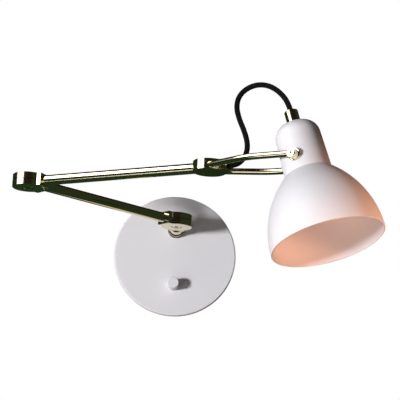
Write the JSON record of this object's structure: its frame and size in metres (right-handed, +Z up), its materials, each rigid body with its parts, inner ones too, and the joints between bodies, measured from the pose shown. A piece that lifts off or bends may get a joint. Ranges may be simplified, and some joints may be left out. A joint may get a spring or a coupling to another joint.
{
  "type": "articulating wall lamp",
  "caption": "Wall lamp with a round wall plate, two folding arms on half-lap knuckles, a fork and a tilting bell shade, fed by a free loop of flex.",
  "frame": {"origin": "centre of the round wall plate, in the plane of the wall surface", "axes": "+X right along the wall, +Y into the wall, +Z up"},
  "size_m": [0.3448, 0.391, 0.172],
  "materials": {
    "white_paint": "satin pale paint",
    "polished_brass": "polished and lacquered",
    "raw_brass": "drawn, unpolished",
    "zinc_steel": "zinc plated",
    "black_cotton": "braided cotton sleeve",
    "black_plastic": "moulded",
    "lampholder_plastic": "moulded",
    "white_plastic": "moulded",
    "friction_fibre": "pressed fibre"
  },
  "bodies": {
    "wall_base": {"wall_plate": "white_paint", "mounting_frame": "zinc_steel", "cover_side_screws": "zinc_steel", "terminal_block": "white_plastic", "dimmer_body": "black_plastic", "dimmer_nut": "zinc_steel", "wall_post": "polished_brass", "wall_post_washer": "zinc_steel", "wall_post_nut": "zinc_steel", "wall_knuckle": "polished_brass"},
    "knob": {"dimmer_knob": "white_paint", "dimmer_spindle": "zinc_steel"},
    "lower_arm": {"lower_arm_wall_knuckle": "polished_brass", "lower_arm_tube": "polished_brass", "lower_arm_lead": "black_cotton", "lower_arm_elbow_knuckle": "polished_brass", "wall_joint_bolt": "polished_brass", "elbow_joint_bolt": "polished_brass", "wall_joint_washer": "friction_fibre", "elbow_joint_washer": "friction_fibre"},
    "upper_arm": {"upper_arm_elbow_knuckle": "polished_brass", "upper_arm_tube": "polished_brass", "upper_arm_lead": "black_cotton", "fork_hub": "polished_brass", "front_fork_rod": "polished_brass", "rear_fork_rod": "polished_brass", "front_fork_eye": "polished_brass", "rear_fork_eye": "polished_brass", "hub_outlet_bush": "black_plastic", "lamp_flex": "black_cotton"},
    "head": {"shade": "white_paint", "pivot_bosses": "zinc_steel", "pivot_spacers": "polished_brass", "pivot_screws": "polished_brass", "cord_gland": "polished_brass", "threaded_nipple": "zinc_steel", "nipple_nut": "zinc_steel", "lampholder_cap": "lampholder_plastic", "lampholder_body": "lampholder_plastic", "lampholder_sleeve": "raw_brass", "lampholder_contact": "raw_brass"}
  },
  "joints": [
    {"name": "wall_swing", "type": "hinge", "parent": "wall_base", "child": "lower_arm", "pos_m": [0, -0.0455, 0.027], "axis": [0, 0, 1], "range_deg": [-41, 139]},
    {"name": "elbow_fold", "type": "hinge", "parent": "lower_arm", "child": "upper_arm", "pos_m": [-0.14339, -0.17015, 0.027], "axis": [0, 0, 1], "range_deg": [-226, 4]},
    {"name": "head_tilt", "type": "hinge", "parent": "upper_arm", "child": "head", "pos_m": [0.11254, -0.30969, 0.026], "axis": [0.4787, 0.878, 0], "range_deg": [-75, 55], "deforming": ["lamp_flex"]},
    {"name": "knob_turn", "type": "hinge", "parent": "wall_base", "child": "knob", "pos_m": [0, -0.0137, -0.031], "axis": [0, 1, 0], "range_deg": [-135, 135]}
  ]
}
